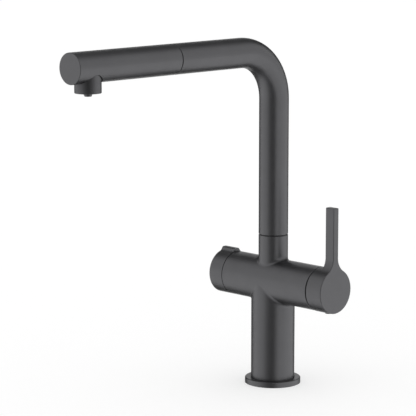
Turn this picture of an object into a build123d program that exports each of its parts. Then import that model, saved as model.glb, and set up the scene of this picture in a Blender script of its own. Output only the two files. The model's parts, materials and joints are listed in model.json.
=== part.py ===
from build123d import *
import os
from math import cos, degrees, hypot, pi, radians, sin, sqrt, tan

# Kitchen mixer tap: a column with a cross body, a side lever, a filter-water knob and an L spout whose
# front is a pull-out spray head. Millimetres. The origin is where the column's axis meets the deck,
# Z is up, the lever is at +X and the spout points to -Y.

# Fits between pieces
slip = 0.05          # radial room of pieces that are fixed in each other
running = 0.08       # radial room of a turning journal
free = 0.3           # room round pieces that move past each other
ring_room = 0.05     # room round a seal ring in its groove
face_room = 0.05     # room between two sliding ceramic faces
same_plane = 0.001   # an edge this near a plane lies in it

# Base flange, foot and insert
flange_d = 50.0
flange_h = 5.0
flange_edge = 0.8    # rounded top edge
flange_gap = 0.3     # dark line between flange and column
ledge_h = 2.0        # flange ledge that carries the column
foot_wall = 3.1      # column wall around the insert
insert_step = 0.6    # shoulder that the insert is pushed up to
insert_h = 15.0
seal_w = 3.0
seal_h = 1.2
stud_core_d = 5.0    # core hole of the thread for a fixing stud
stud_spacing = 23.0
stud_depth = 10.0
inlet_core_d = 7.0   # core hole of the thread for a hose

# Cast body
cross_d = 39.3
column_inset = 0.1   # column surface inside the cross body's surface
cross_z = 94.2       # height of the cross body's axis
cross_right = 57.4   # column axis to the body's lever end
cross_left = 45.7    # column axis to the body's knob end
neck_d = 26.4        # neck, spout and spray head
neck_rise = 41.7     # cross axis to the middle of the swivel seam
neck_seam = 0.8
body_fillet = 4.5    # column into cross body
neck_fillet = 3.5    # cross body into neck
seam_bevel = 0.3     # broken edges at the seams
end_wall = 2.75      # wall round the bores in both ends
roof_drop = 22.2     # column roof below the cross axis
seat_x = 20.0        # valve seats either side of the column axis

# Water tubes in the column, on a circle round the hose
tube_d = 6.4
tube_bore_d = 4.8
tube_ring_d = 21.4
tube_seat = 6.0      # length held in the insert
tube_land = 1.0      # shoulder between tube and hose
tube_socket = 5.0    # length held in the body
tube_angles = {
    "hot_supply_tube": 43.0,
    "mixed_return_tube": 0.0,
    "cold_supply_tube": -43.0,
    "filter_supply_tube": 150.0,
    "filter_return_tube": 210.0,
}

# Mixing cartridge
cartridge_step = 2.75  # shoulder under the cartridge nut
cartridge_room = 0.2
cartridge_seal_t = 2.0
cartridge_base_t = 2.5
housing_wall = 1.6
housing_roof_t = 2.2
fixed_disc_t = 3.0
moving_disc_t = 3.0
driver_t = 4.0
carrier_gap = 0.6
carrier_flange_t = 3.2
carrier_neck_step = 3.1
carrier_stand = 5.0  # carrier neck past the tilt pivot
nut_h = 8.0
nut_lip_t = 3.0
nut_lip_step = 3.4
dome_wall = 2.5
dome_room = 2.0      # dome inside the body's edge, seen from the pivot

# Lever and its stem
lever_gap = 1.4
lever_front = 75.75  # column axis to the lever's front face
lever_tip = 73.7     # cross axis to the blade's tip
blade_w = 6.2
blade_t = 9.5
blade_flare = 14.5   # concave radius from the blade into the hub
blade_corner = 0.9
lever_edge = 0.75
hub_over = 0.2       # hub's surface over the cross body's
pivot_depth = 12.0   # tilt pivot behind the body's end
flow_tilt = 20.0     # lever travel from shut to open, degrees
rim_room = 0.45      # hub rim to the body's edge as the lever tilts
stem_w = 6.0
stem_h = 7.0
stem_back = 4.0      # square part of the stem behind the pivot
stem_cover = 3.5     # lever front left over the stem's end
tail_l = 12.2
tail_d = 3.6
ball_d = 5.0
pin_d = 3.0
pin_short = 0.5      # pin ends inside the carrier's neck
boss_d = 13.0
boss_reach = 13.0    # boss starts this far past the pivot
lever_screw_d = 4.0
lever_screw_l = 8.0
lever_screw_back = 8.0   # screw axis behind the lever's front
screw_key_d = 2.0    # socket of both grub screws, across its corners
screw_key_depth = 2.4
plug_d = 6.8
plug_proud = 0.7
plug_l = 3.4
plug_edge = 0.7

# Filter knob and valve
knob_gap = 0.4
knob_l = 15.75
knob_rise = 3.0      # thumb ridge over the knob's surface
knob_flare = 4.5
knob_corner = 2.8
knob_edge = 0.3
knob_wall = 3.1
knob_end_t = 6.2
knob_boss_d = 15.0
knob_boss_in = 1.9   # boss end inside the knob's rim
valve_seal_t = 1.5
valve_cup_d = 19.8
valve_cup_wall = 1.6
valve_disc_t = 2.5
valve_drive_t = 3.6
valve_cup_l = 14.5
valve_flange_t = 2.5
valve_neck_d = 13.0
valve_neck_in = 0.5  # valve neck inside the knob's rim
gland_t = 5.5
gland_room = 1.0
spindle_d = 8.0
spindle_square = 5.4
spindle_square_l = 7.0
knob_screw_d = 4.0
knob_screw_l = 6.5
knob_screw_in = 6.4  # screw axis inside the knob's rim

# Spout and its swivel
spout_rise = 164.9   # swivel seam to the arm's axis
spout_bend = 43.0
spout_wall = 1.6
arm_l = 123.7        # column axis to the middle of the pull-out seam
pull_seam = 0.5
journal_wall = 3.5
journal_step = 1.0   # journal inside the spout's bore
journal_l = 23.0     # length in the neck
journal_grip = 14.0  # length in the spout
ring_inset = 0.75    # slip ring behind the outer surface
o_ring_d = 2.0
o_ring_rows = (5.0, 18.0)    # heights over the journal's end
stop_screw_d = 4.0
stop_screw_drop = 12.0       # below the neck's top
stop_bite = 1.4
swivel_range = 70.0

# Hose
hose_d = 10.0
hose_bore_d = 6.4
hose_room = 1.0
guide_wall = 1.2

# Spray head
head_l = 113.9       # pull-out seam to the head's end face
head_wall = 1.75
head_front_t = 2.5
head_edge = 0.45
outlet_back = 19.2   # outlet axis behind the end face
outlet_d = 22.4
outlet_drop = 21.1   # arm axis to the outlet collar's end
outlet_wall = 1.4
outlet_seam = 0.8    # open line round the collar
outlet_seat = 5.0    # arm axis to the ledge that the collar is pushed up to
nozzle_drop = 2.75   # nozzle tip below the collar
nozzle_d = 8.0
nozzle_tip_d = 5.8
nozzle_bore_d = 3.2
nozzle_lift = 2.2    # nozzle's top over the arm's axis
aerator_in = 0.6
aerator_h = 8.4
aerator_wall = 1.4
screen_h = 2.0
screen_hole_d = 1.1
screen_circles = (10.0, 13.4)    # diameters of the hole circles
screen_pitch = 2.2   # hole to hole
bush_wall = 1.2
bush_l = 26.0
nose_l = 19.0        # nose length in the spout
nose_grip = 26.0     # nose length in the head
nose_ring_back = 6.0
nose_bore_d = 6.0
check_valve_d = 8.0
check_valve_l = 12.0
check_valve_bore_d = 3.0
hose_nut_flats = 14.0
hose_nut_l = 10.0
hose_grip = 6.0      # hose length held in its nut
block_l = 28.0
block_front = 3.0    # block end behind the head's front wall
water_tube_d = 6.8
water_tube_bore_d = 5.0
water_tube_drop = 4.6
filter_tube_d = 4.4
filter_tube_bore_d = 2.8
filter_tube_lift = 6.6
tube_grip = 4.0
chamber_d = 13.0
chamber_drop = 2.3   # chamber's roof below the arm's axis

# Worked-out sizes
cross_r = cross_d / 2
column_r = cross_r - column_inset
neck_r = neck_d / 2
flange_r = flange_d / 2
foot_bore_r = column_r - foot_wall
column_bore_r = foot_bore_r - insert_step
roof_z = cross_z - roof_drop
bore_r = cross_r - end_wall
seat_bore_r = bore_r - cartridge_step
neck_top_z = cross_z + neck_rise - neck_seam / 2
spout_foot_z = cross_z + neck_rise + neck_seam / 2
arm_z = cross_z + neck_rise + spout_rise
spout_bore_r = neck_r - spout_wall
journal_r = spout_bore_r - journal_step
neck_bore_r = journal_r + running
journal_end_z = neck_top_z - journal_l
neck_floor_z = journal_end_z - free
hose_way_r = hose_d / 2 + hose_room
arm_end_y = -(arm_l - pull_seam / 2)
head_start_y = -(arm_l + pull_seam / 2)
head_end_y = -(arm_l + head_l)
head_bore_r = neck_r - head_wall
outlet_y = head_end_y + outlet_back
outlet_z = arm_z - outlet_drop
outlet_seat_z = arm_z - outlet_seat
outlet_bore_r = outlet_d / 2 - outlet_wall
guide_r = hose_d / 2 + free + guide_wall
inlet_depth = insert_h - tube_seat - tube_land
o_ring_r = journal_r + running - ring_room - o_ring_d / 2
stop_screw_z = neck_top_z - stop_screw_drop
hose_run_y = -spout_bend - free
hose_end_y = head_start_y + nose_l + hose_nut_l - hose_grip
nose_r = spout_bore_r - bush_wall - free
nose_front_y = head_start_y - nose_grip
nose_back_y = head_start_y + nose_l
block_start_y = head_end_y + head_front_t + block_front + block_l
water_z = arm_z - water_tube_drop
filter_z = arm_z + filter_tube_lift
nozzle_top_z = arm_z + nozzle_lift
aerator_z = outlet_z + aerator_in
screen_z = aerator_z + aerator_h - screen_h

# Cartridge stack along the cross axis, from the seat to the lever
base_x = seat_x + cartridge_seal_t
fixed_x = base_x + cartridge_base_t
moving_x = fixed_x + fixed_disc_t + face_room
driver_x = moving_x + moving_disc_t
carrier_x = driver_x + driver_t + carrier_gap
roof_x = carrier_x + carrier_flange_t + free
nut_x = roof_x + housing_roof_t
sleeve_x = nut_x + nut_h
pivot_x = cross_right - pivot_depth
housing_r = seat_bore_r - cartridge_room
housing_bore_r = housing_r - housing_wall
carrier_r = housing_bore_r - free
carrier_neck_r = carrier_r - carrier_neck_step
tilt_sin = sin(radians(flow_tilt))
tilt_cos = cos(radians(flow_tilt))
disc_travel = tail_l * tilt_sin
hub_x = cross_right + lever_gap
hub_r = cross_r + hub_over
rim_reach = hypot(cross_r, pivot_depth)
dome_bore_r = bore_r - dome_wall
moving_disc_r = housing_bore_r - disc_travel - free
lever_screw_x = lever_front - lever_screw_back
plug_z = cross_z - hub_r - plug_proud
plug_top_z = plug_z + plug_l

# Filter valve stack, counted away from the column axis towards the knob
valve_x = seat_x + valve_seal_t
valve_drive_x = valve_x + 2 * valve_disc_t + face_room
valve_flange_x = seat_x + valve_cup_l + valve_seal_t
knob_x = cross_left + knob_gap
knob_end_x = knob_x + knob_l
knob_screw_x = -knob_x - knob_screw_in
valve_bore_r = valve_cup_d / 2 - valve_cup_wall


# Basic shapes

def rod_x(radius, start, end, y=0.0, z=cross_z):
    low = min(start, end)
    place = Plane(origin=(low, y, z), x_dir=(0, 1, 0), z_dir=(1, 0, 0))
    return place * Cylinder(radius, abs(end - start), align=(Align.CENTER, Align.CENTER, Align.MIN))


def rod_y(radius, start, end, x=0.0, z=arm_z):
    low = min(start, end)
    place = Plane(origin=(x, low, z), x_dir=(1, 0, 0), z_dir=(0, 1, 0))
    return place * Cylinder(radius, abs(end - start), align=(Align.CENTER, Align.CENTER, Align.MIN))


def rod_z(radius, start, end, x=0.0, y=0.0):
    place = Pos(x, y, min(start, end))
    return place * Cylinder(radius, abs(end - start), align=(Align.CENTER, Align.CENTER, Align.MIN))


def block(x_span, y_span, z_span):
    spans = (x_span, y_span, z_span)
    middle = [(low + high) / 2 for low, high in spans]
    size = [high - low for low, high in spans]
    return Pos(*middle) * Box(*size)


def rim_edges(shape, axis, place):
    """Round edges that lie square to an axis at one place along it."""
    def at_place(edge):
        box = edge.bounding_box()
        low = getattr(box.min, axis)
        high = getattr(box.max, axis)
        return max(abs(low - place), abs(high - place)) < same_plane
    return [edge for edge in shape.edges() if at_place(edge)]


def bent_rod(radius, foot_z, arm_y):
    """A round rod up the column axis, round the spout's bend and along its arm."""
    bend_z = arm_z - spout_bend
    upright = rod_z(radius, foot_z, bend_z)
    arm = rod_y(radius, arm_y, -spout_bend)
    section = Pos(0, 0, bend_z) * Circle(radius)
    bend = revolve(section, Axis((0, -spout_bend, bend_z), (1, 0, 0)), 90)
    return upright + bend + arm


def tube_place(name):
    angle = radians(tube_angles[name])
    return tube_ring_d / 2 * cos(angle), tube_ring_d / 2 * sin(angle)


def ridge_face(radius, width, tip, flare, corner, x):
    """A disc with a ridge on top that flares into its edge, square to the cross axis at x."""
    flare_y = width / 2 + flare
    flare_centre = Vector(flare_y, sqrt((radius + flare) ** 2 - flare_y ** 2))
    corner_z = tip - corner
    drop = flare_centre.Y - corner_z
    if drop > 0:
        # A low ridge: its rounded corner runs straight into the flare
        corner_centre = Vector(flare_y - sqrt((flare + corner) ** 2 - drop ** 2), corner_z)
        waist = flare_centre + (corner_centre - flare_centre).normalized() * flare
        shoulder = waist
    else:
        corner_centre = Vector(width / 2 - corner, corner_z)
        waist = Vector(width / 2, flare_centre.Y)
        shoulder = Vector(width / 2, corner_z)
    foot = flare_centre * (radius / (radius + flare))
    top = Vector(corner_centre.X, tip)

    def arc(start, end, centre, size):
        middle = centre + ((start + end) * 0.5 - centre).normalized() * size
        return start, middle, end

    half = [arc(foot, waist, flare_centre, flare), arc(shoulder, top, corner_centre, corner)]
    if drop <= 0:
        half.insert(1, (waist, shoulder))
    outline = [ThreePointArc(Vector(-foot.X, foot.Y), Vector(0, -radius), foot)]
    outline.append(Line(top, Vector(-top.X, top.Y)))
    for side in (1, -1):
        for points in half:
            ends = [Vector(side * point.X, point.Y) for point in points]
            outline.append(ThreePointArc(*ends) if len(ends) == 3 else Line(*ends))
    place = Plane(origin=(x, 0, cross_z), x_dir=(0, 1, 0), z_dir=(1, 0, 0))
    return place * make_face(outline)


# Base

def make_base_flange():
    ring = rod_z(flange_r, 0, flange_h)
    ring = fillet(rim_edges(ring, "Z", flange_h), flange_edge)
    ring -= rod_z(column_r + flange_gap, ledge_h, flange_h)
    ring -= rod_z(foot_bore_r, 0, ledge_h)
    return ring - make_base_seal()


def make_base_seal():
    middle = (flange_r + foot_bore_r) / 2
    return rod_z(middle + seal_w / 2, 0, seal_h) - rod_z(middle - seal_w / 2, 0, seal_h)


def make_base_insert():
    insert = rod_z(foot_bore_r - slip, 0, insert_h)
    insert -= rod_z(guide_r + slip, 0, insert_h)
    for name in tube_angles:
        x, y = tube_place(name)
        insert -= rod_z(inlet_core_d / 2, 0, inlet_depth, x, y)
        insert -= rod_z(tube_bore_d / 2, inlet_depth, insert_h - tube_seat, x, y)
        insert -= rod_z(tube_d / 2 + slip, insert_h - tube_seat, insert_h, x, y)
    for side in (-1, 1):
        insert -= rod_z(stud_core_d / 2, 0, stud_depth, 0, side * stud_spacing / 2)
    return insert


def make_hose_guide():
    return rod_z(guide_r, 0, insert_h) - rod_z(guide_r - guide_wall, 0, insert_h)


def make_tube(name):
    x, y = tube_place(name)
    start = insert_h - tube_seat
    end = roof_z + tube_socket
    return rod_z(tube_d / 2, start, end, x, y) - rod_z(tube_bore_d / 2, start, end, x, y)


# Cast body

def saddle_edges(body, upper):
    """The curves in which an upright cylinder meets the cross body, above or below its axis."""
    plain = (GeomType.LINE, GeomType.CIRCLE)
    curves = [edge for edge in body.edges() if edge.geom_type not in plain]
    return [edge for edge in curves if (edge.center().Z > cross_z) == upper]


def make_tap_body():
    cross = rod_x(cross_r, -cross_left, cross_right)
    ends = rim_edges(cross, "X", -cross_left) + rim_edges(cross, "X", cross_right)
    body = chamfer(ends, seam_bevel)
    neck = rod_z(neck_r, cross_z, neck_top_z)
    neck = chamfer(rim_edges(neck, "Z", neck_top_z), seam_bevel)
    body += neck
    body = fillet(saddle_edges(body, True), neck_fillet)
    body += rod_z(column_r, ledge_h, cross_z)
    body = fillet(saddle_edges(body, False), body_fillet)
    body -= rod_z(foot_bore_r, ledge_h, insert_h)
    body -= rod_z(column_bore_r, insert_h, roof_z)
    body -= rod_z(hose_way_r, roof_z, neck_floor_z)
    body -= rod_z(neck_bore_r, neck_floor_z, neck_top_z)
    body -= rod_x(seat_bore_r, seat_x, nut_x)
    body -= rod_x(bore_r, nut_x, cross_right)
    body -= rod_x(valve_cup_d / 2 + slip, -seat_x, -valve_flange_x)
    body -= rod_x(bore_r, -valve_flange_x, -cross_left)
    body -= make_waterways()
    return body - rod_y(stop_screw_d / 2 + slip, 0, neck_r, z=stop_screw_z)


def make_waterways():
    ways = []
    for name in tube_angles:
        x, y = tube_place(name)
        low = name == "mixed_return_tube"
        port_z = cross_z - tube_place("hot_supply_tube")[1] if low else cross_z
        seat = seat_x if x > 0 else -seat_x
        ways.append(rod_z(tube_d / 2 + slip, roof_z, roof_z + tube_socket, x, y))
        ways.append(rod_z(tube_bore_d / 2, roof_z, port_z, x, y))
        ways.append(rod_x(tube_bore_d / 2, x, seat, y, port_z))
    return ways


# Mixing cartridge

def cartridge_ports(start, end):
    """The hot, cold and mixed passages through one layer of the cartridge."""
    offset = tube_place("hot_supply_tube")[1]
    places = ((offset, cross_z), (-offset, cross_z), (0, cross_z - offset))
    return [rod_x(tube_bore_d / 2, start, end, y, z) for y, z in places]


def make_cartridge_seal():
    return rod_x(housing_r, seat_x, base_x) - cartridge_ports(seat_x, base_x)


def make_cartridge_base():
    return rod_x(housing_r, base_x, fixed_x) - cartridge_ports(base_x, fixed_x)


def make_cartridge_fixed_disc():
    end = fixed_x + fixed_disc_t
    return rod_x(housing_bore_r - slip, fixed_x, end) - cartridge_ports(fixed_x, end)


def make_cartridge_housing():
    housing = rod_x(housing_r, fixed_x, nut_x) - rod_x(housing_bore_r, fixed_x, roof_x)
    return housing - rod_x(carrier_neck_r + running, roof_x, nut_x)


def make_cartridge_moving_disc():
    disc = rod_x(moving_disc_r, moving_x, driver_x)
    pocket_z = cross_z - moving_disc_r / 3
    return disc - rod_x(moving_disc_r / 2, moving_x, moving_x + moving_disc_t / 2, z=pocket_z)


def make_cartridge_driver():
    driver = rod_x(moving_disc_r, driver_x, driver_x + driver_t)
    return driver - rod_x(ball_d / 2 + free, driver_x, driver_x + driver_t)


def make_cartridge_carrier():
    end = pivot_x + carrier_stand
    carrier = rod_x(carrier_r, carrier_x, carrier_x + carrier_flange_t)
    carrier += rod_x(carrier_neck_r, carrier_x, end)
    square_x = pivot_x - stem_back * tilt_cos - stem_h / 2 * tilt_sin - free
    square_z = max(stem_back, carrier_stand) * tan(radians(flow_tilt)) + stem_h / 2 / tilt_cos + free
    square_y = stem_w / 2 + free
    ball_room = ball_d / 2 + free
    carrier -= block((square_x, end), (-square_y, square_y), (cross_z - square_z, cross_z + square_z))
    tail_z = (cross_z - ball_room, cross_z + disc_travel + ball_room)
    carrier -= block((carrier_x, square_x), (-ball_room, ball_room), tail_z)
    return carrier - rod_y(pin_d / 2, -carrier_r, carrier_r, pivot_x, cross_z)


def make_cartridge_pin():
    half = carrier_neck_r - pin_short
    return rod_y(pin_d / 2, -half, half, pivot_x, cross_z)


def make_cartridge_nut():
    nut = rod_x(bore_r - slip, nut_x, sleeve_x)
    nut -= rod_x(dome_bore_r - nut_lip_step, nut_x, nut_x + nut_lip_t)
    return nut - rod_x(dome_bore_r, nut_x + nut_lip_t, sleeve_x)


def make_dome_cover():
    """A threaded sleeve with a ball-shaped collar round the tilt pivot, turned about the cross axis."""
    ball_r = rim_reach - dome_room
    foot_r = sqrt(ball_r ** 2 - pivot_depth ** 2)
    tip_x = pivot_x + sqrt(ball_r ** 2 - dome_bore_r ** 2)
    crown = Vector((cross_right + tip_x) / 2 - pivot_x, 0, (foot_r + dome_bore_r) / 2).normalized() * ball_r

    def at(x, radius):
        return Vector(x, 0, cross_z + radius)

    foot = at(cross_right, foot_r)
    tip = at(tip_x, dome_bore_r)
    walls = Polyline(
        tip, at(sleeve_x, dome_bore_r), at(sleeve_x, bore_r - slip), at(cross_right, bore_r - slip), foot)
    ball = ThreePointArc(foot, at(pivot_x, 0) + crown, tip)
    return revolve(make_face([walls, ball]), Axis((0, 0, cross_z), (1, 0, 0)), 360)


# Lever

def make_mixer_lever():
    blade_x = lever_front - blade_t
    face = ridge_face(hub_r, blade_w, lever_tip, blade_flare, blade_corner, blade_x)
    blade = extrude(face, blade_t)
    blade = fillet(rim_edges(blade, "X", lever_front), lever_edge)
    lever = rod_x(hub_r, hub_x, blade_x) + blade
    pivot = Plane(origin=(pivot_x, 0, cross_z), x_dir=(0, 1, 0), z_dir=(1, 0, 0))
    bowl = pivot * Sphere(rim_reach + rim_room)
    bowl -= rod_x(boss_d / 2, pivot_x + boss_reach, lever_front)
    lever -= bowl
    tip = lever_front - stem_cover
    half_w = stem_w / 2 + slip
    half_h = stem_h / 2 + slip
    lever -= block((hub_x - boss_d, tip), (-half_w, half_w), (cross_z - half_h, cross_z + half_h))
    lever -= rod_z(lever_screw_d / 2, plug_top_z, cross_z, lever_screw_x)
    return lever - rod_z(plug_d / 2, plug_z, plug_top_z, lever_screw_x)


def grub_screw(diameter, length, x, tip_z):
    """A screw put in from below, with a six-sided socket in its end."""
    low_z = tip_z - length
    socket = Pos(x, 0, low_z) * extrude(RegularPolygon(screw_key_d / 2, 6), screw_key_depth)
    return rod_z(diameter / 2 - slip, low_z, tip_z, x) - socket


def make_lever_stem():
    tip = lever_front - stem_cover
    stem = block(
        (pivot_x - stem_back, tip),
        (-stem_w / 2, stem_w / 2),
        (cross_z - stem_h / 2, cross_z + stem_h / 2),
    )
    stem += rod_x(tail_d / 2, pivot_x - tail_l, pivot_x - stem_back)
    stem += Pos(pivot_x - tail_l, 0, cross_z) * Sphere(ball_d / 2)
    return stem - rod_y(pin_d / 2 + running, -stem_w, stem_w, pivot_x, cross_z)


def make_lever_grub_screw():
    return grub_screw(lever_screw_d, lever_screw_l, lever_screw_x, cross_z - stem_h / 2)


def make_lever_screw_plug():
    plug = rod_z(plug_d / 2 - slip, plug_z, plug_top_z, lever_screw_x)
    return fillet(rim_edges(plug, "Z", plug_z), plug_edge)


# Filter valve and knob

def valve_ports(start, end):
    offset = tube_place("filter_supply_tube")[1]
    return [rod_x(tube_bore_d / 2, -start, -end, side * offset) for side in (-1, 1)]


def make_filter_valve_seal():
    return rod_x(valve_cup_d / 2, -seat_x, -valve_x) - valve_ports(seat_x, valve_x)


def make_filter_valve_body():
    flange_end = valve_flange_x + valve_flange_t
    neck_end = knob_x + valve_neck_in
    body = rod_x(valve_cup_d / 2, -valve_x, -flange_end)
    body += rod_x(bore_r - slip, -valve_flange_x, -flange_end)
    body += rod_x(valve_neck_d / 2, -flange_end, -neck_end)
    body -= rod_x(valve_bore_r, -valve_x, -(valve_drive_x + valve_drive_t + free))
    return body - rod_x(spindle_d / 2 + running, -valve_x, -neck_end)


def make_filter_fixed_disc():
    end = valve_x + valve_disc_t
    return rod_x(valve_bore_r - slip, -valve_x, -end) - valve_ports(valve_x, end)


def make_filter_moving_disc():
    start = valve_x + valve_disc_t + face_room
    disc = rod_x(valve_bore_r - free, -start, -valve_drive_x)
    slot_z = tube_bore_d / 2
    return disc - block((-valve_drive_x, -start), (-slot_z, slot_z), (cross_z, cross_z + valve_bore_r))


def make_filter_spindle():
    round_end = knob_end_x - knob_end_t - spindle_square_l / 2
    spindle = rod_x(valve_bore_r - free, -valve_drive_x, -(valve_drive_x + valve_drive_t))
    spindle += rod_x(spindle_d / 2, -valve_drive_x, -round_end)
    half = spindle_square / 2
    square = ((-round_end - spindle_square_l, -round_end), (-half, half), (cross_z - half, cross_z + half))
    return spindle + block(*square)


def make_filter_gland_nut():
    start = valve_flange_x + valve_flange_t
    nut = rod_x(bore_r - slip, -start, -start - gland_t)
    return nut - rod_x(valve_neck_d / 2 + gland_room, -start, -start - gland_t)


def make_filter_knob():
    tip = cross_r + knob_rise
    face = ridge_face(cross_r, blade_w, tip, knob_flare, knob_corner, -knob_end_x)
    knob = extrude(face, knob_l)
    knob = fillet(rim_edges(knob, "X", -knob_end_x), knob_edge)
    floor_x = knob_end_x - knob_end_t
    hollow = rod_x(cross_r - knob_wall, -knob_x, -floor_x)
    hollow -= rod_x(knob_boss_d / 2, -knob_x - knob_boss_in, -floor_x)
    knob -= hollow
    round_end = floor_x - spindle_square_l / 2
    half = spindle_square / 2 + slip
    knob -= rod_x(spindle_d / 2 + slip, -knob_x, -round_end)
    socket = (-round_end - spindle_square_l, -round_end)
    knob -= block(socket, (-half, half), (cross_z - half, cross_z + half))
    return knob - rod_z(knob_screw_d / 2, cross_z - cross_r, cross_z, knob_screw_x)


def make_knob_grub_screw():
    return grub_screw(knob_screw_d, knob_screw_l, knob_screw_x, cross_z - spindle_d / 2)


# Spout

def make_swivel_slip_ring():
    ring = rod_z(neck_r - ring_inset, neck_top_z, spout_foot_z)
    return ring - rod_z(journal_r + running, neck_top_z, spout_foot_z)


def make_swivel_stop_screw():
    return rod_y(stop_screw_d / 2, journal_r - stop_bite, neck_r - seam_bevel, z=stop_screw_z)


def make_spout_tube():
    tube = bent_rod(neck_r, spout_foot_z, arm_end_y)
    ends = rim_edges(tube, "Z", spout_foot_z) + rim_edges(tube, "Y", arm_end_y)
    tube = chamfer(ends, seam_bevel)
    return tube - bent_rod(spout_bore_r, spout_foot_z, arm_end_y)


def make_spout_journal():
    journal = rod_z(journal_r, journal_end_z, spout_foot_z + journal_grip)
    journal += rod_z(spout_bore_r - slip, spout_foot_z, spout_foot_z + journal_grip)
    journal -= rod_z(journal_r - journal_wall, journal_end_z, spout_foot_z + journal_grip)
    groove_r = o_ring_r - o_ring_d / 2 - ring_room
    for row in o_ring_rows:
        low = journal_end_z + row - o_ring_d / 2 - ring_room
        high = journal_end_z + row + o_ring_d / 2 + ring_room
        journal -= rod_z(journal_r, low, high) - rod_z(groove_r, low, high)
    return journal - make_stop_groove()


def make_stop_groove():
    """The part-turn groove that the stop screw runs in."""
    depth = stop_bite + free
    half = stop_screw_d / 2 + free
    middle = journal_r - depth / 2
    sweep_angle = 2 * swivel_range + degrees(2 * half / journal_r)
    section = Plane.XZ * Pos(middle, stop_screw_z) * Rectangle(depth, 2 * half)
    groove = revolve(section, Axis.Z, sweep_angle)
    return groove.rotate(Axis.Z, 90 - sweep_angle / 2)


def make_journal_o_rings():
    rings = []
    for row in o_ring_rows:
        rings.append(Pos(0, 0, journal_end_z + row) * Torus(o_ring_r, o_ring_d / 2))
    return Compound(children=rings)


def make_docking_bush():
    start = arm_end_y + bush_l
    bush = rod_y(spout_bore_r - slip, start, arm_end_y)
    return bush - rod_y(spout_bore_r - bush_wall, start, arm_end_y)


# Hose

def make_pull_hose_riser():
    return bent_rod(hose_d / 2, 0, hose_run_y) - bent_rod(hose_bore_d / 2, 0, hose_run_y)


def make_pull_hose_run():
    return rod_y(hose_d / 2, hose_run_y, hose_end_y) - rod_y(hose_bore_d / 2, hose_run_y, hose_end_y)


# Spray head

def make_head_shell():
    tube = rod_y(neck_r, head_start_y, head_end_y)
    tube = chamfer(rim_edges(tube, "Y", head_start_y), seam_bevel)
    tube = fillet(rim_edges(tube, "Y", head_end_y), head_edge)
    tube -= rod_y(head_bore_r, head_start_y, head_end_y + head_front_t)
    return tube - rod_z(outlet_d / 2 + outlet_seam, outlet_z, outlet_seat_z, y=outlet_y)


def make_outlet_collar():
    collar = rod_z(outlet_d / 2, outlet_z, outlet_seat_z, y=outlet_y)
    collar = fillet(rim_edges(collar, "Z", outlet_z), head_edge)
    collar -= rod_y(head_bore_r, head_start_y, head_end_y)
    return collar - rod_z(outlet_bore_r, outlet_z, outlet_seat_z, y=outlet_y)


def make_docking_nose():
    nose = rod_y(head_bore_r - slip, head_start_y, nose_front_y)
    nose += rod_y(nose_r, head_start_y, nose_back_y)
    nose -= rod_y(check_valve_d / 2 + slip, nose_front_y, nose_front_y + check_valve_l)
    nose -= rod_y(nose_bore_d / 2, nose_front_y + check_valve_l, nose_back_y)
    ring_y = head_start_y + nose_ring_back
    groove_r = nose_r - o_ring_d - 2 * ring_room
    half = o_ring_d / 2 + ring_room
    nose -= rod_y(nose_r, ring_y - half, ring_y + half) - rod_y(groove_r, ring_y - half, ring_y + half)
    nose -= rod_y(filter_tube_d / 2 + slip, nose_front_y, nose_front_y + tube_grip, z=filter_z)
    return nose - rod_y(filter_tube_bore_d / 2, nose_front_y, head_start_y, z=filter_z)


def make_nose_o_ring():
    place = Plane(origin=(0, head_start_y + nose_ring_back, arm_z), x_dir=(1, 0, 0), z_dir=(0, 1, 0))
    return place * Torus(nose_r - ring_room - o_ring_d / 2, o_ring_d / 2)


def make_check_valve():
    back = nose_front_y + check_valve_l
    return rod_y(check_valve_d / 2, nose_front_y, back) - rod_y(check_valve_bore_d / 2, nose_front_y, back)


def make_hose_nut():
    end = nose_back_y + hose_nut_l
    place = Plane(origin=(0, nose_back_y, arm_z), x_dir=(1, 0, 0), z_dir=(0, 1, 0))
    nut = place * extrude(RegularPolygon(hose_nut_flats / 2, 6, major_radius=False), hose_nut_l)
    nut -= rod_y(nose_bore_d / 2, nose_back_y, end)
    return nut - rod_y(hose_d / 2 + slip, hose_end_y, end)


def make_outlet_block():
    body = rod_y(head_bore_r - slip, block_start_y, block_start_y - block_l)
    body -= rod_z(outlet_bore_r, outlet_z, aerator_z + aerator_h, y=outlet_y)
    body -= rod_z(chamber_d / 2, outlet_z, arm_z - chamber_drop, y=outlet_y)
    body -= rod_y(water_tube_d / 2 + slip, block_start_y - tube_grip, block_start_y, z=water_z)
    body -= rod_y(water_tube_bore_d / 2, outlet_y, block_start_y, z=water_z)
    body -= rod_y(filter_tube_d / 2 + slip, block_start_y - tube_grip, block_start_y, z=filter_z)
    body -= rod_y(filter_tube_bore_d / 2, outlet_y, block_start_y, z=filter_z)
    body -= rod_z(nozzle_bore_d / 2, arm_z, filter_z, y=outlet_y)
    return body - rod_z(nozzle_tip_d / 2 + slip, outlet_z, nozzle_top_z, y=outlet_y)


def make_waterway_tube():
    end = block_start_y - tube_grip
    tube = rod_y(water_tube_d / 2, nose_front_y, end, z=water_z)
    return tube - rod_y(water_tube_bore_d / 2, nose_front_y, end, z=water_z)


def make_filter_tube():
    start = nose_front_y + tube_grip
    end = block_start_y - tube_grip
    tube = rod_y(filter_tube_d / 2, start, end, z=filter_z)
    return tube - rod_y(filter_tube_bore_d / 2, start, end, z=filter_z)


def make_filter_nozzle():
    tip = outlet_z - nozzle_drop
    cone = Pos(0, outlet_y, tip) * Cone(
        nozzle_tip_d / 2, nozzle_d / 2, nozzle_drop, align=(Align.CENTER, Align.CENTER, Align.MIN))
    nozzle = cone + rod_z(nozzle_d / 2, outlet_z, screen_z, y=outlet_y)
    nozzle += rod_z(nozzle_tip_d / 2, screen_z, nozzle_top_z, y=outlet_y)
    return nozzle - rod_z(nozzle_bore_d / 2, tip, nozzle_top_z, y=outlet_y)


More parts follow.
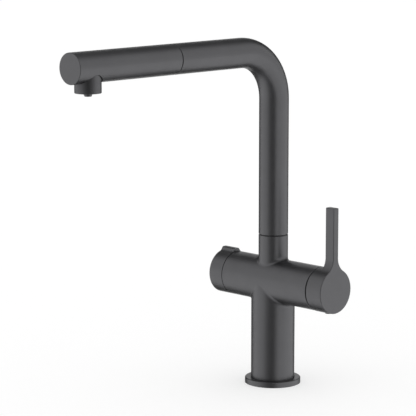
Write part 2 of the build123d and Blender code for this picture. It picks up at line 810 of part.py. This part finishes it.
def make_aerator_housing():
    top = aerator_z + aerator_h
    housing = rod_z(outlet_bore_r - slip, aerator_z, top, y=outlet_y)
    return housing - rod_z(outlet_bore_r - aerator_wall, aerator_z, top, y=outlet_y)


def make_aerator_screen():
    top = screen_z + screen_h
    screen = rod_z(outlet_bore_r - aerator_wall - slip, screen_z, top, y=outlet_y)
    screen -= rod_z(nozzle_tip_d / 2 + slip, screen_z, top, y=outlet_y)
    for circle_d in screen_circles:
        for place in PolarLocations(circle_d / 2, int(pi * circle_d / screen_pitch)):
            x = place.position.X
            y = outlet_y + place.position.Y
            screen -= rod_z(screen_hole_d / 2, screen_z, top, x, y)
    return screen


pieces = {
    "base_flange": make_base_flange(),
    "base_seal": make_base_seal(),
    "base_insert": make_base_insert(),
    "hose_guide": make_hose_guide(),
    "tap_body": make_tap_body(),
    "cartridge_seal": make_cartridge_seal(),
    "cartridge_base": make_cartridge_base(),
    "cartridge_fixed_disc": make_cartridge_fixed_disc(),
    "cartridge_housing": make_cartridge_housing(),
    "cartridge_moving_disc": make_cartridge_moving_disc(),
    "cartridge_driver": make_cartridge_driver(),
    "cartridge_carrier": make_cartridge_carrier(),
    "cartridge_pin": make_cartridge_pin(),
    "cartridge_nut": make_cartridge_nut(),
    "dome_cover": make_dome_cover(),
    "mixer_lever": make_mixer_lever(),
    "lever_stem": make_lever_stem(),
    "lever_grub_screw": make_lever_grub_screw(),
    "lever_screw_plug": make_lever_screw_plug(),
    "filter_valve_seal": make_filter_valve_seal(),
    "filter_valve_body": make_filter_valve_body(),
    "filter_fixed_disc": make_filter_fixed_disc(),
    "filter_moving_disc": make_filter_moving_disc(),
    "filter_spindle": make_filter_spindle(),
    "filter_gland_nut": make_filter_gland_nut(),
    "filter_knob": make_filter_knob(),
    "knob_grub_screw": make_knob_grub_screw(),
    "swivel_slip_ring": make_swivel_slip_ring(),
    "swivel_stop_screw": make_swivel_stop_screw(),
    "spout_tube": make_spout_tube(),
    "spout_journal": make_spout_journal(),
    "journal_o_rings": make_journal_o_rings(),
    "docking_bush": make_docking_bush(),
    "pull_hose_riser": make_pull_hose_riser(),
    "pull_hose_run": make_pull_hose_run(),
    "head_shell": make_head_shell(),
    "outlet_collar": make_outlet_collar(),
    "docking_nose": make_docking_nose(),
    "nose_o_ring": make_nose_o_ring(),
    "check_valve": make_check_valve(),
    "hose_nut": make_hose_nut(),
    "outlet_block": make_outlet_block(),
    "waterway_tube": make_waterway_tube(),
    "filter_tube": make_filter_tube(),
    "filter_nozzle": make_filter_nozzle(),
    "aerator_housing": make_aerator_housing(),
    "aerator_screen": make_aerator_screen(),
}
pieces.update({name: make_tube(name) for name in tube_angles})

os.makedirs("parts", exist_ok=True)
for name, piece in pieces.items():
    export_step(piece, f"parts/{name}.step")
print(len(pieces), "pieces, disc travel", round(disc_travel, 3), "pivot x", round(pivot_x, 3))
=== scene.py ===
import json
import math

import bpy
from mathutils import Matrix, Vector


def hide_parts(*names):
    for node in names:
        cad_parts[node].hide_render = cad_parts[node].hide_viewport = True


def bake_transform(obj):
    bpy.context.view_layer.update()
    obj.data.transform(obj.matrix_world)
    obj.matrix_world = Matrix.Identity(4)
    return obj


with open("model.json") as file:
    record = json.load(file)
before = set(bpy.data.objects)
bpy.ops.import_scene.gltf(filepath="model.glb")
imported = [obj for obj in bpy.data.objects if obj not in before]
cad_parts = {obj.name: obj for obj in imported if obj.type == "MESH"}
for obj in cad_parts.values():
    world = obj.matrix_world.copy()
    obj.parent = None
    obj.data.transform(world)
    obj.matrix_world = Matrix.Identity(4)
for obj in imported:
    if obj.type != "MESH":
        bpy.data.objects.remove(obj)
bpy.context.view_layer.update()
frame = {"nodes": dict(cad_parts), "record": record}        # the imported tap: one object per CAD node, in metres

nodes = frame["nodes"]


# Colours, nodes and what the finishes share

noiseLow, noiseHigh = 0.3, 0.7      # nearly all values of a noise texture lie between these
waveStep = 2 * math.pi / 20         # metres from band to band in a wave texture of scale 1


def linearColour(hexText):      # "#rrggbb" in sRGB to linear RGBA
    parts = [int(hexText[i:i + 2], 16) / 255 for i in (1, 3, 5)]
    return [p / 12.92 if p <= 0.04045 else ((p + 0.055) / 1.055) ** 2.4 for p in parts] + [1.0]


def addNode(tree, kind, settings, links):      # keys are property names, input names or input numbers
    node = tree.nodes.new(kind)
    for name, value in settings.items():
        if isinstance(name, int) or name in node.inputs:
            node.inputs[name].default_value = value
        else:
            setattr(node, name, value)
    for name, socket in links.items():
        tree.links.new(socket, node.inputs[name])
    return node


def startMaterial(name):
    material = bpy.data.materials.new(name)
    material.use_nodes = True
    tree = material.node_tree
    return material, tree, tree.nodes["Principled BSDF"]


def perMetre(millimetres):      # noise scale for a feature of this size
    return 1000 / millimetres


def bandScale(millimetres):     # wave texture scale for bands this far apart
    return waveStep * 1000 / millimetres


def clouded(tree, shader, place, finish):      # two close colours in soft clouds, roughness in patches
    clouds = addNode(tree, "ShaderNodeTexNoise", {"Scale": perMetre(finish["cloudMm"]), "Detail": 3.0},
                     {"Vector": place})
    blend = addNode(tree, "ShaderNodeMix", {      # inputs 6 and 7 and output 2 are its colours
        "data_type": "RGBA", 6: linearColour(finish["dark"]), 7: linearColour(finish["light"]),
    }, {0: clouds.outputs[0]})
    tree.links.new(blend.outputs[2], shader.inputs["Base Color"])
    patches = addNode(tree, "ShaderNodeTexNoise", {"Scale": perMetre(finish["patchMm"]), "Detail": 2.0},
                      {"Vector": place})
    smooth, rough = finish["roughness"]
    drift = addNode(tree, "ShaderNodeMapRange", {
        "From Min": noiseLow, "From Max": noiseHigh, "To Min": smooth, "To Max": rough,
    }, {"Value": patches.outputs[0]})
    tree.links.new(drift.outputs[0], shader.inputs["Roughness"])


def pitted(tree, shader, place, finish):      # an even fine relief: bead marks, tool marks or mould grain
    pits = addNode(tree, "ShaderNodeTexNoise", {
        "Scale": perMetre(finish["pitMm"]), "Detail": finish["pitDetail"],
    }, {"Vector": place})
    relief = addNode(tree, "ShaderNodeBump", {"Strength": 1.0, "Distance": finish["pitDepthMm"] / 1000},
                     {"Height": pits.outputs[0]})
    tree.links.new(relief.outputs[0], shader.inputs["Normal"])


# Metals, and a metallic lacquer that goes with them

metalFinishes = {
    # dark satin metal: broad soft highlights with no grain direction, faint clouds in the coat, fine bead
    # marks, which are drawn coarse because real ones are 0.1 mm and would not show
    "satinAnthraciteCoat": {   # on blasted brass
        "dark": "#68686a", "light": "#6d6d6f", "cloudMm": 22, "patchMm": 9, "roughness": (0.38, 0.42),
        "pitMm": 0.6, "pitDepthMm": 0.002, "pitDetail": 1.0,
    },
    "collarLacquer": {         # on the moulded outlet collar, a little duller than the metal round it
        "dark": "#676769", "light": "#6b6b6d", "cloudMm": 9, "patchMm": 4, "roughness": (0.43, 0.48),
        "pitMm": 0.6, "pitDepthMm": 0.003, "pitDetail": 1.0,
    },
    # machined steel: clear highlights, broken by short tool marks
    "machinedStainless": {     # cold grey and bright
        "dark": "#a2a4a6", "light": "#bcbec0", "cloudMm": 4, "patchMm": 1.5, "roughness": (0.2, 0.34),
        "pitMm": 0.4, "pitDepthMm": 0.004, "pitDetail": 2.0,
    },
    "blackOxideSteel": {       # set screws: oily black with a low sheen
        "dark": "#2e2e30", "light": "#3a3a3c", "cloudMm": 2, "patchMm": 1, "roughness": (0.34, 0.46),
        "pitMm": 0.4, "pitDepthMm": 0.004, "pitDetail": 2.0,
    },
}


def makeMetal(name):
    finish = metalFinishes[name]
    material, tree, shader = startMaterial(name)
    place = addNode(tree, "ShaderNodeTexCoord", {}, {}).outputs["Object"]
    clouded(tree, shader, place, finish)
    shader.inputs["Metallic"].default_value = 1.0
    pitted(tree, shader, place, finish)
    return material


# Turned brass: warm yellow metal with fine tool rings round its axis, a little tarnish between them

turnedBrass = {
    "dark": "#a8864a",
    "light": "#cfae6c",
    "cloudMm": 7,
    "patchMm": 3,
    "roughness": (0.24, 0.38),
    "ringMm": 0.5,             # feed of the lathe tool; real feed is 0.1 mm and would not show
    "ringDepthMm": 0.006,
    "ringWobble": 0.6,
}


def makeTurnedBrass(axis):
    material, tree, shader = startMaterial("turnedBrass" + axis)
    place = addNode(tree, "ShaderNodeTexCoord", {}, {}).outputs["Object"]
    clouded(tree, shader, place, turnedBrass)
    shader.inputs["Metallic"].default_value = 1.0
    rings = addNode(tree, "ShaderNodeTexWave", {
        "wave_type": "BANDS", "bands_direction": axis, "Scale": bandScale(turnedBrass["ringMm"]),
        "Distortion": turnedBrass["ringWobble"], "Detail": 2.0,
    }, {"Vector": place})
    relief = addNode(tree, "ShaderNodeBump", {
        "Strength": 1.0, "Distance": turnedBrass["ringDepthMm"] / 1000,
    }, {"Height": rings.outputs[1]})
    tree.links.new(relief.outputs[0], shader.inputs["Normal"])
    return material


# Lapped alumina: dense white ceramic with a faint grey speckle and a silky face

alumina = {
    "dark": "#dcd9d2",
    "light": "#f0eee8",
    "cloudMm": 1.2,
    "patchMm": 3,
    "roughness": (0.2, 0.32),
    "ior": 1.7,
}


def makeAlumina():
    material, tree, shader = startMaterial("lappedAlumina")
    place = addNode(tree, "ShaderNodeTexCoord", {}, {}).outputs["Object"]
    clouded(tree, shader, place, alumina)
    shader.inputs["IOR"].default_value = alumina["ior"]
    return material


# Moulded plastics and rubber differ in colour, gloss and the spark-eroded grain of their moulds

mouldedFinishes = {
    "nitrileRubber": {         # soft black, nearly dull, a grey bloom in patches
        "dark": "#171718", "light": "#262627", "cloudMm": 5, "patchMm": 2, "roughness": (0.58, 0.74),
        "ior": 1.52, "pitMm": 0.5, "pitDepthMm": 0.02, "pitDetail": 2.0,
    },
    "blackAcetal": {           # near-black with a satin sheen
        "dark": "#161617", "light": "#1e1e20", "cloudMm": 6, "patchMm": 3, "roughness": (0.36, 0.48),
        "ior": 1.48, "pitMm": 0.4, "pitDepthMm": 0.008, "pitDetail": 2.0,
    },
    "whiteAcetal": {           # milky white, slightly warm, a soft gloss
        "dark": "#dcdad2", "light": "#e8e6df", "cloudMm": 6, "patchMm": 3, "roughness": (0.34, 0.46),
        "ior": 1.48, "pitMm": 0.4, "pitDepthMm": 0.006, "pitDetail": 2.0,
    },
}


def makeMoulded(name):
    finish = mouldedFinishes[name]
    material, tree, shader = startMaterial(name)
    place = addNode(tree, "ShaderNodeTexCoord", {}, {}).outputs["Object"]
    clouded(tree, shader, place, finish)
    shader.inputs["IOR"].default_value = finish["ior"]
    pitted(tree, shader, place, finish)
    return material


# Nylon braid over rubber: flat yarns of a few filaments that cross at about 45 degrees, over and under

braid = {
    "paintedShade": "#1d1e20",         # painted shade in the dips between the yarns
    "yarn": "#55565a",
    "yarnsRound": 16,          # yarns in each direction
    "pitchMm": 1.96,           # crossing to crossing along the hose
    "filaments": 5,            # filaments across one yarn
    "filamentShare": 0.08,     # their part of the relief
    "flatness": 0.5,           # below 1 the yarns have flat tops
    "depthMm": 0.25,
    "roughness": 0.46,
    "ior": 1.53,
}


def makeBraid():
    material, tree, shader = startMaterial("nylonBraid")
    wrap = addNode(tree, "ShaderNodeUVMap", {"uv_map": "braid"}, {}).outputs[0]
    turn = addNode(tree, "ShaderNodeSeparateXYZ", {}, {0: wrap}).outputs[0]
    place = addNode(tree, "ShaderNodeTexCoord", {}, {}).outputs["Object"]
    height = addNode(tree, "ShaderNodeSeparateXYZ", {}, {0: place}).outputs[2]
    level = addNode(tree, "ShaderNodeVectorMath", {"operation": "MULTIPLY", 1: (1, 1, 0)},
                    {0: place}).outputs[0]
    reach = addNode(tree, "ShaderNodeVectorMath", {"operation": "LENGTH"}, {0: level}).outputs["Value"]
    # height plus reach runs on along the hose, so the yarns turn with the spout
    # and keep their size when the hose is drawn out
    along = addNode(tree, "ShaderNodeMath", {"operation": "ADD"}, {0: height, 1: reach}).outputs[0]
    steps = addNode(tree, "ShaderNodeMath", {"operation": "MULTIPLY", 1: perMetre(braid["pitchMm"])},
                    {0: along}).outputs[0]
    around = addNode(tree, "ShaderNodeMath", {"operation": "MULTIPLY", 1: braid["yarnsRound"]},
                     {0: turn}).outputs[0]
    left = addNode(tree, "ShaderNodeMath", {"operation": "ADD"}, {0: around, 1: steps}).outputs[0]
    right = addNode(tree, "ShaderNodeMath", {"operation": "SUBTRACT"}, {0: around, 1: steps}).outputs[0]
    fibreWaves = 2 * math.pi * braid["filaments"]
    crowns = []
    fibres = []
    for yarns in (left, right):
        across = addNode(tree, "ShaderNodeMath", {"operation": "FRACT"}, {0: yarns}).outputs[0]
        arch = addNode(tree, "ShaderNodeMath", {"operation": "MULTIPLY", 1: math.pi}, {0: across}).outputs[0]
        crowns.append(addNode(tree, "ShaderNodeMath", {"operation": "SINE"}, {0: arch}).outputs[0])
        waves = addNode(tree, "ShaderNodeMath", {"operation": "MULTIPLY", 1: fibreWaves},
                        {0: across}).outputs[0]
        fibres.append(addNode(tree, "ShaderNodeMath", {"operation": "SINE"}, {0: waves}).outputs[0])
    cells = addNode(tree, "ShaderNodeCombineXYZ", {}, {0: left, 1: right}).outputs[0]
    over = addNode(tree, "ShaderNodeTexChecker", {
        "Scale": 1.0, "Color1": linearColour("#ffffff"), "Color2": linearColour("#000000"),
    }, {"Vector": cells}).outputs[1]
    pillow = addNode(tree, "ShaderNodeMath", {"operation": "MULTIPLY"},
                     {0: crowns[0], 1: crowns[1]}).outputs[0]
    plump = addNode(tree, "ShaderNodeMath", {"operation": "POWER", 1: braid["flatness"]},
                    {0: pillow}).outputs[0]
    fibre = addNode(tree, "ShaderNodeMix", {"data_type": "FLOAT"},
                    {0: over, 2: fibres[1], 3: fibres[0]}).outputs[0]
    raised = addNode(tree, "ShaderNodeMath", {"operation": "MULTIPLY_ADD", 1: braid["filamentShare"]},
                     {0: fibre, 2: plump}).outputs[0]
    relief = addNode(tree, "ShaderNodeBump", {"Strength": 1.0, "Distance": braid["depthMm"] / 1000},
                     {"Height": raised})
    tree.links.new(relief.outputs[0], shader.inputs["Normal"])
    # painted shade: the colour darkens with the relief, from the yarns' crowns into the dips between them
    shade = addNode(tree, "ShaderNodeMix", {
        "data_type": "RGBA", 6: linearColour(braid["paintedShade"]), 7: linearColour(braid["yarn"]),
    }, {0: plump})
    tree.links.new(shade.outputs[2], shader.inputs["Base Color"])
    shader.inputs["Roughness"].default_value = braid["roughness"]
    shader.inputs["IOR"].default_value = braid["ior"]
    return material


# Finishes on the CAD nodes, by the record's material slots

brassByAxis = {axis: makeTurnedBrass(axis) for axis in "XYZ"}
blackSteel = makeMetal("blackOxideSteel")
slotMaterials = {
    "anthracite_metal": makeMetal("satinAnthraciteCoat"),
    "anthracite_plastic": makeMetal("collarLacquer"),
    "brass": brassByAxis["Z"],
    "steel": makeMetal("machinedStainless"),
    "ceramic": makeAlumina(),
    "rubber": makeMoulded("nitrileRubber"),
    "black_plastic": makeMoulded("blackAcetal"),
    "white_plastic": makeMoulded("whiteAcetal"),
    "braided_hose": makeBraid(),
}
nodeMaterials = {              # brass turned along another axis, and set screws
    "cartridge_nut": brassByAxis["X"],
    "filter_valve_body": brassByAxis["X"],
    "filter_gland_nut": brassByAxis["X"],
    "filter_spindle": brassByAxis["X"],
    "hose_nut": brassByAxis["Y"],
    "swivel_stop_screw": blackSteel,
    "lever_grub_screw": blackSteel,
    "knob_grub_screw": blackSteel,
}
finishNames = set()
for part in frame["record"]["subparts"]:
    name = part["node"]
    finish = nodeMaterials.get(name, slotMaterials[part["material_slot"]])
    nodes[name].data.materials.clear()
    nodes[name].data.materials.append(finish)
    finishNames.add(finish.name)
print("materials:", len(finishNames), "on", len(nodes), "nodes")


# Spray hose: one braided tube from the deck up the spout and into the spray head

sprayHose = {                  # lengths in metres
    "radius": 0.005,
    "wall": 0.0018,
    "bendRadius": 0.043,
    "bendZ": 0.2578,           # top of the riser, where the bend starts
    "armZ": 0.3008,            # axis of the run along the arm
    "endY": -0.10095,
    "drawStart": (0, -0.0445, 0.3008),      # on the arm axis, inside the spout
    "drawEnd": (0, -0.0945, 0.3008),        # on the arm axis, 50 mm further out
    "sides": 32,
    "riserRings": 60,
    "bendSteps": 30,
    "runRings": 120,
    "sameSpot": 1e-6,          # points closer than this count as one
    "smoothDegrees": 40,       # sharper edges stay sharp
}


def selectWhere(mesh, test):       # edit mode off; picks vertices, and the edges and faces between them
    for vertex in mesh.vertices:
        vertex.select = test(vertex.co)
    for edge in mesh.edges:
        edge.select = all(mesh.vertices[i].select for i in edge.vertices)
    for face in mesh.polygons:
        face.select = all(mesh.vertices[i].select for i in face.vertices)


def makeSprayHose():
    bpy.ops.object.select_all(action="DESELECT")
    bpy.ops.mesh.primitive_circle_add(
        vertices=sprayHose["sides"], radius=sprayHose["radius"], location=(0, 0, 0))
    hose = bpy.context.object
    hose.name = "sprayHose"
    bpy.ops.object.mode_set(mode="EDIT")
    bpy.ops.mesh.select_mode(type="VERT")
    bpy.ops.mesh.select_all(action="SELECT")
    rise = sprayHose["bendZ"] / sprayHose["riserRings"]
    for _ in range(sprayHose["riserRings"]):
        bpy.ops.mesh.extrude_region_move(TRANSFORM_OT_translate={"value": (0, 0, rise)})
    bendMiddle = (0, -sprayHose["bendRadius"], sprayHose["bendZ"])
    bpy.ops.mesh.spin(steps=sprayHose["bendSteps"], angle=math.pi / 2, center=bendMiddle, axis=(-1, 0, 0))
    bpy.ops.object.mode_set(mode="OBJECT")
    reached = min(vertex.co.y for vertex in hose.data.vertices)
    print("hose bend ends at y", round(reached, 5))
    selectWhere(hose.data, lambda co: co.y < reached + sprayHose["sameSpot"])
    run = (sprayHose["endY"] - reached) / sprayHose["runRings"]
    bpy.ops.object.mode_set(mode="EDIT")
    for _ in range(sprayHose["runRings"]):
        bpy.ops.mesh.extrude_region_move(TRANSFORM_OT_translate={"value": (0, run, 0)})
    bpy.ops.mesh.select_all(action="SELECT")
    bpy.ops.mesh.remove_doubles(threshold=sprayHose["sameSpot"])
    bpy.ops.mesh.normals_make_consistent(inside=False)
    bpy.ops.object.mode_set(mode="OBJECT")
    wall = hose.modifiers.new("wall", "SOLIDIFY")
    wall.thickness = sprayHose["wall"]
    wall.offset = -1      # inwards
    bpy.ops.object.modifier_apply(modifier="wall")
    bpy.ops.object.shade_smooth_by_angle(angle=math.radians(sprayHose["smoothDegrees"]))
    return hose


def wrapBraid(hose):      # u runs once round the hose from the inside of its bend, v is the height
    mesh = hose.data
    layer = mesh.uv_layers.new(name="braid")
    bendRadius = sprayHose["bendRadius"]
    halfTurn = 0.5

    def turnOf(co):
        if co.z < sprayHose["bendZ"]:
            out = co.y
        elif co.y < -bendRadius:
            out = co.z - sprayHose["armZ"]
        else:
            out = math.hypot(co.y + bendRadius, co.z - sprayHose["bendZ"]) - bendRadius
        return math.atan2(co.x, out) / (2 * math.pi) + halfTurn

    for face in mesh.polygons:
        turns = [turnOf(mesh.vertices[i].co) for i in face.vertices]
        for loop, turn in zip(face.loop_indices, turns):
            if max(turns) - min(turns) > halfTurn and turn < halfTurn:
                turn += 1      # keeps the face that closes the ring in one stretch
            layer.data[loop].uv = (turn, mesh.vertices[mesh.loops[loop].vertex_index].co.z)


hose = makeSprayHose()
wrapBraid(hose)
hose.data.materials.append(slotMaterials["braided_hose"])
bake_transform(hose)
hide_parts("pull_hose_riser", "pull_hose_run")
print("hose:", len(hose.data.polygons), "faces")


# Studio: white room, pale floor, grey and black cards that only reflections see

studio = {
    "white": "#ffffff",
    "floor": "#bcbcbc",        # half of the floor's white is its own glow, which keeps the shadow faint
    "floorGlow": "#bcbcbc",
    "floorSize": 12.0,         # metres
    "middle": 0.16,            # height from which the cards' elevations count
    # degrees from the camera, half width, lowest and highest elevation; metres away; grey
    "cards": {
        "frontCoreCard": (-5, 5, -65, 63, 0.46, "#4c4c4c"),
        "frontCard": (-9, 25, -65, 63, 0.5, "#828282"),
        "outletCard": (9, 7, -50, 50, 0.33, "#828282"),      # so near that it shades the outlet collar most
        "outletFlag": (-29, 3, 4, 29, 0.312, "#101010"),     # and so does this one
        "frontShadeCard": (-41, 8, -55, 60, 0.6, "#b8b8b8"),
        "frontRightCard": (45, 21, -55, 60, 1.2, "#e9e9e9"),
        "frontLeftCard": (-61, 27, -55, 60, 1.2, "#e6e6e6"),
        "sideRightCard": (93, 27, 2, 50, 3.0, "#dcdcdc"),
        "sideLeftCard": (-101, 26, 4, 48, 3.0, "#dadada"),
        "rearRightHighCard": (147, 13, 22, 73, 3.0, "#404040"),
        "rearHighCard": (171.5, 11.5, 22, 73, 3.0, "#707070"),
        "rearRightLowCard": (152, 18, -72, -8, 3.0, "#626262"),
        "rearRightCard": (151, 18, -8, 23, 3.0, "#484848"),
        "rearLeftHighCard": (-151, 17, 20, 63, 3.0, "#404040"),
        "rearLeftLowCard": (-148, 23, -72, -26, 3.0, "#5c5c5c"),
        "rearLeftCard": (-154, 24, -24, 20, 3.0, "#404040"),
        "rearLowCard": (180, 14, -72, -43, 3.1, "#404040"),
    },
    # degrees of elevation, with all above or below covered; metres up or down; grey
    "discs": {
        "ceiling": (34, 4.0, "#aaaaaa"),
        "ground": (-68, 4.0, "#a0a0a0"),
    },
    "discSides": 64,
}

photoView = {
    "azimuth": 45.603,         # degrees, 0 looks along +Y
    "elevation": 9.559,
    "distance": 1.90127,       # metres
    "target": (-0.04092, -0.04179, 0.15923),
    "lens": 184.2,             # mm on a 36 mm sensor
}

world = bpy.data.worlds.new("whiteRoom")
bpy.context.scene.world = world
world.use_nodes = True
background = world.node_tree.nodes["Background"]
background.inputs["Color"].default_value = linearColour(studio["white"])
background.inputs["Strength"].default_value = 1.0

bpy.ops.object.select_all(action="DESELECT")
bpy.ops.mesh.primitive_plane_add(size=studio["floorSize"], location=(0, 0, 0))
floor = bpy.context.object
floor.name = "floor"
floor.visible_glossy = False
floorMaterial, _, floorShader = startMaterial("paleFloor")
floorShader.inputs["Base Color"].default_value = linearColour(studio["floor"])
floorShader.inputs["Emission Color"].default_value = linearColour(studio["floorGlow"])
floorShader.inputs["Emission Strength"].default_value = 1.0
floorShader.inputs["Roughness"].default_value = 1.0
floorShader.inputs["Specular IOR Level"].default_value = 0.0
floor.data.materials.append(floorMaterial)


def hangCard(card, name, grey):      # glows in its grey, and neither the camera nor soft light sees it
    material, _, shader = startMaterial(name)
    shader.inputs["Base Color"].default_value = linearColour("#000000")
    shader.inputs["Specular IOR Level"].default_value = 0.0
    shader.inputs["Emission Color"].default_value = linearColour(grey)
    shader.inputs["Emission Strength"].default_value = 1.0
    card.name = name
    card.data.materials.append(material)
    card.visible_camera = False
    card.visible_diffuse = False
    card.visible_shadow = False


for name, (turn, half, low, high, away, grey) in studio["cards"].items():
    angle = math.radians(photoView["azimuth"] + turn)
    bottom = away * math.tan(math.radians(low))
    top = away * math.tan(math.radians(high))
    place = (away * math.sin(angle), -away * math.cos(angle), studio["middle"] + (bottom + top) / 2)
    bpy.ops.mesh.primitive_plane_add(size=1, location=place, rotation=(math.pi / 2, 0, angle))
    card = bpy.context.object
    card.scale = (2 * away * math.tan(math.radians(half)), top - bottom, 1)
    hangCard(card, name, grey)
for name, (elevation, away, grey) in studio["discs"].items():
    up = math.copysign(away, elevation)
    radius = up / math.tan(math.radians(elevation))
    place = (0, 0, studio["middle"] + up)
    bpy.ops.mesh.primitive_circle_add(
        vertices=studio["discSides"], radius=radius, fill_type="NGON", location=place)
    hangCard(bpy.context.object, name, grey)

cameraData = bpy.data.cameras.new("photoCamera")
camera = bpy.data.objects.new("photoCamera", cameraData)
bpy.context.scene.collection.objects.link(camera)
azimuth = math.radians(photoView["azimuth"])
elevation = math.radians(photoView["elevation"])
level = math.cos(elevation)
back = Vector((math.sin(azimuth) * level, -math.cos(azimuth) * level, math.sin(elevation)))
camera.location = Vector(photoView["target"]) + back * photoView["distance"]
camera.rotation_euler = back.to_track_quat("Z", "Y").to_euler()
cameraData.lens = photoView["lens"]
bpy.context.scene.camera = camera
bpy.context.scene.view_settings.view_transform = "Standard"
print("studio:", len(studio["cards"]) + len(studio["discs"]), "cards")
